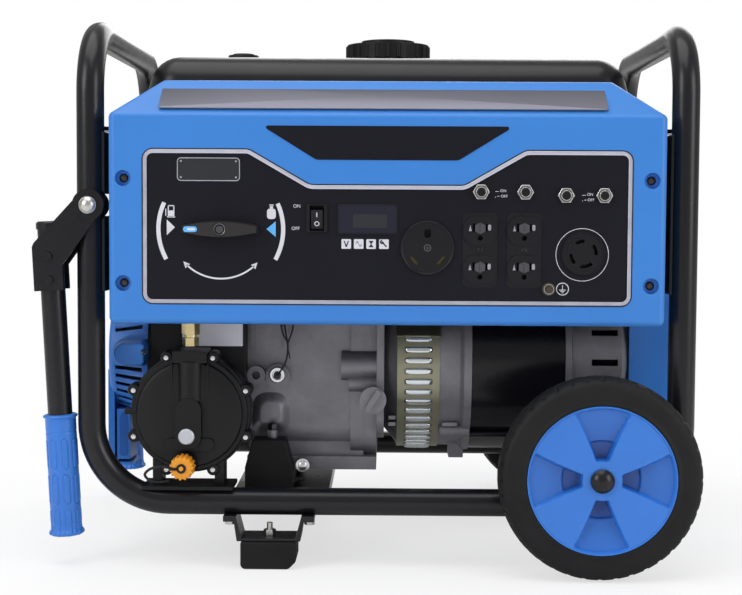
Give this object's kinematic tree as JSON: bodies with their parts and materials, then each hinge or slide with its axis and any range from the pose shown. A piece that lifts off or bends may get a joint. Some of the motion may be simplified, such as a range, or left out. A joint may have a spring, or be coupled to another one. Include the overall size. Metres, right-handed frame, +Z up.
{
  "type": "portable generator",
  "caption": "Open tube frame generator with wheels, fold-down handles, control panel, fuel tank, engine and alternator.",
  "frame": {"origin": "Centre of the whole machine's footprint, on the ground plane", "axes": "+X towards the wheel end, +Y towards the back (the control panel faces -Y), +Z up"},
  "size_m": [0.6759, 0.5582, 0.562],
  "materials": {
    "frame_black": "gloss black powder coat",
    "steel_zinc": "bright zinc plated",
    "tyre_rubber": "matt black rubber",
    "rubber": "black moulded rubber",
    "rim_blue": "blue moulded plastic",
    "panel_blue": "bright blue moulded plastic, satin",
    "cover_blue": "deep blue moulded plastic",
    "tank_black": "black painted steel",
    "black_plastic": "black moulded plastic",
    "plate_dark": "dark charcoal plate with a bright border",
    "outlet_black": "black thermoset",
    "screw_dark": "dark zinc plated screws",
    "nut_steel": "bright nickel plated",
    "casting": "sand-cast grey aluminium",
    "cast_iron": "machined cast iron",
    "winding": "varnished copper winding and laminations",
    "band_zinc": "olive zinc plated strip",
    "stator_black": "black painted laminations",
    "brass": "turned brass",
    "cap_orange": "orange moulded plastic",
    "muffler_steel": "heat resistant dark coating"
  },
  "bodies": {
    "frame": {"front_frame_tube": "frame_black", "rear_frame_tube": "frame_black", "base_crossmembers": "frame_black", "wheel_axles": "frame_black", "foot_brackets": "frame_black", "foot_pads": "rubber", "frame_bolts": "steel_zinc", "engine_mounts": "rubber", "fuel_tank": "tank_black", "fuel_gauge": "black_plastic", "control_box": "tank_black", "panel_surround": "panel_blue", "control_plate": "plate_dark", "panel_fasteners": "screw_dark", "duplex_outlets": "outlet_black", "round_outlets": "outlet_black", "breakers": "nut_steel", "switch_housing": "black_plastic", "hour_meter": "black_plastic", "crankcase": "casting", "crankcase_cover": "casting", "cylinder_head": "casting", "rocker_cover": "tank_black", "fan_housing": "tank_black", "recoil_cover": "cover_blue", "carburettor": "casting", "air_cleaner": "black_plastic", "muffler": "muffler_steel", "alternator_adapter": "casting", "vent_band": "band_zinc", "stator": "stator_black", "end_bell": "casting", "end_cover": "cover_blue", "gas_regulator": "black_plastic", "gas_fitting": "brass", "gas_hose": "rubber"},
    "front_wheel": {"wheel_rim_front": "rim_blue", "tyre_front": "tyre_rubber"},
    "rear_wheel": {"wheel_rim_rear": "rim_blue", "tyre_rear": "tyre_rubber"},
    "front_handle": {"handle_arm_front": "frame_black", "handle_grip_front": "rim_blue"},
    "rear_handle": {"handle_arm_rear": "frame_black", "handle_grip_rear": "rim_blue"},
    "selector": {"fuel_selector": "black_plastic"},
    "switch_key": {"engine_switch": "black_plastic"},
    "breaker_key_1": {"breaker_button_1": "outlet_black"},
    "breaker_key_2": {"breaker_button_2": "outlet_black"},
    "breaker_key_3": {"breaker_button_3": "outlet_black"},
    "breaker_key_4": {"breaker_button_4": "outlet_black"},
    "cap_base": {"cap_core": "black_plastic"},
    "cap_shell": {"fuel_cap": "black_plastic"},
    "oil_plug": {"oil_cap": "casting"},
    "inlet_cap": {"dust_cap": "cap_orange"},
    "pull_grip": {"recoil_handle": "cover_blue", "starter_rope": "rubber"},
    "reel": {"recoil_reel": "black_plastic"},
    "rotating_group": {"flywheel": "cast_iron", "rotor_shaft": "winding"},
    "choke": {"choke_lever": "steel_zinc"}
  },
  "joints": [
    {"name": "front_wheel_spin", "type": "hinge", "parent": "frame", "child": "front_wheel", "pos_m": [0.23495, -0.2495, 0.1016], "axis": [0, 1, 0], "continuous": true},
    {"name": "rear_wheel_spin", "type": "hinge", "parent": "frame", "child": "rear_wheel", "pos_m": [0.23495, 0.2495, 0.1016], "axis": [0, 1, 0], "continuous": true},
    {"name": "front_handle_fold", "type": "hinge", "parent": "frame", "child": "front_handle", "pos_m": [-0.28105, -0.201, 0.37], "axis": [0, 1, 0], "range_deg": [0, 87]},
    {"name": "rear_handle_fold", "type": "hinge", "parent": "frame", "child": "rear_handle", "pos_m": [-0.28105, 0.201, 0.37], "axis": [0, 1, 0], "range_deg": [0, 87]},
    {"name": "fuel_selector_turn", "type": "hinge", "parent": "frame", "child": "selector", "pos_m": [-0.14455, -0.2347, 0.3465], "axis": [0, -1, 0], "range_deg": [0, 180]},
    {"name": "engine_switch_rock", "type": "hinge", "parent": "frame", "child": "switch_key", "pos_m": [-0.04855, -0.2287, 0.358], "axis": [-1, 0, 0], "range_deg": [0, 20]},
    {"name": "breaker_1_press", "type": "slide", "parent": "frame", "child": "breaker_key_1", "axis": [0, -1, 0], "range_m": [0, 0.003]},
    {"name": "breaker_2_press", "type": "slide", "parent": "frame", "child": "breaker_key_2", "axis": [0, -1, 0], "range_m": [0, 0.003]},
    {"name": "breaker_3_press", "type": "slide", "parent": "frame", "child": "breaker_key_3", "axis": [0, -1, 0], "range_m": [0, 0.003]},
    {"name": "breaker_4_press", "type": "slide", "parent": "frame", "child": "breaker_key_4", "axis": [0, -1, 0], "range_m": [0, 0.003]},
    {"name": "fuel_cap_lift", "type": "slide", "parent": "frame", "child": "cap_base", "axis": [0, 0, 1], "range_m": [0, 0.03]},
    {"name": "fuel_cap_turn", "type": "hinge", "parent": "cap_base", "child": "cap_shell", "pos_m": [0.02145, 0, 0.545], "axis": [0, 0, 1], "range_deg": [0, 90]},
    {"name": "oil_cap_pull", "type": "slide", "parent": "frame", "child": "oil_plug", "axis": [0, -1, 0], "range_m": [0, 0.04]},
    {"name": "dust_cap_pull", "type": "slide", "parent": "frame", "child": "inlet_cap", "axis": [0, -1, 0], "range_m": [0, 0.025]},
    {"name": "recoil_pull", "type": "slide", "parent": "frame", "child": "pull_grip", "axis": [0, -1, 0], "range_m": [0, 0.45], "deforming": ["starter_rope"]},
    {"name": "reel_turn", "type": "hinge", "parent": "frame", "child": "reel", "pos_m": [-0.25355, -0.045, 0.206], "axis": [-1, 0, 0], "range_deg": [0, 430]},
    {"name": "crank_spin", "type": "hinge", "parent": "frame", "child": "rotating_group", "pos_m": [0.02145, -0.045, 0.206], "axis": [1, 0, 0], "continuous": true},
    {"name": "choke_turn", "type": "hinge", "parent": "frame", "child": "choke", "pos_m": [-0.16855, 0.11, 0.315], "axis": [0, 0, -1], "range_deg": [0, 45]}
  ],
  "couplings": [
    {"joint": "reel_turn", "follows": "recoil_pull", "rad_per_m": 16.667}
  ]
}
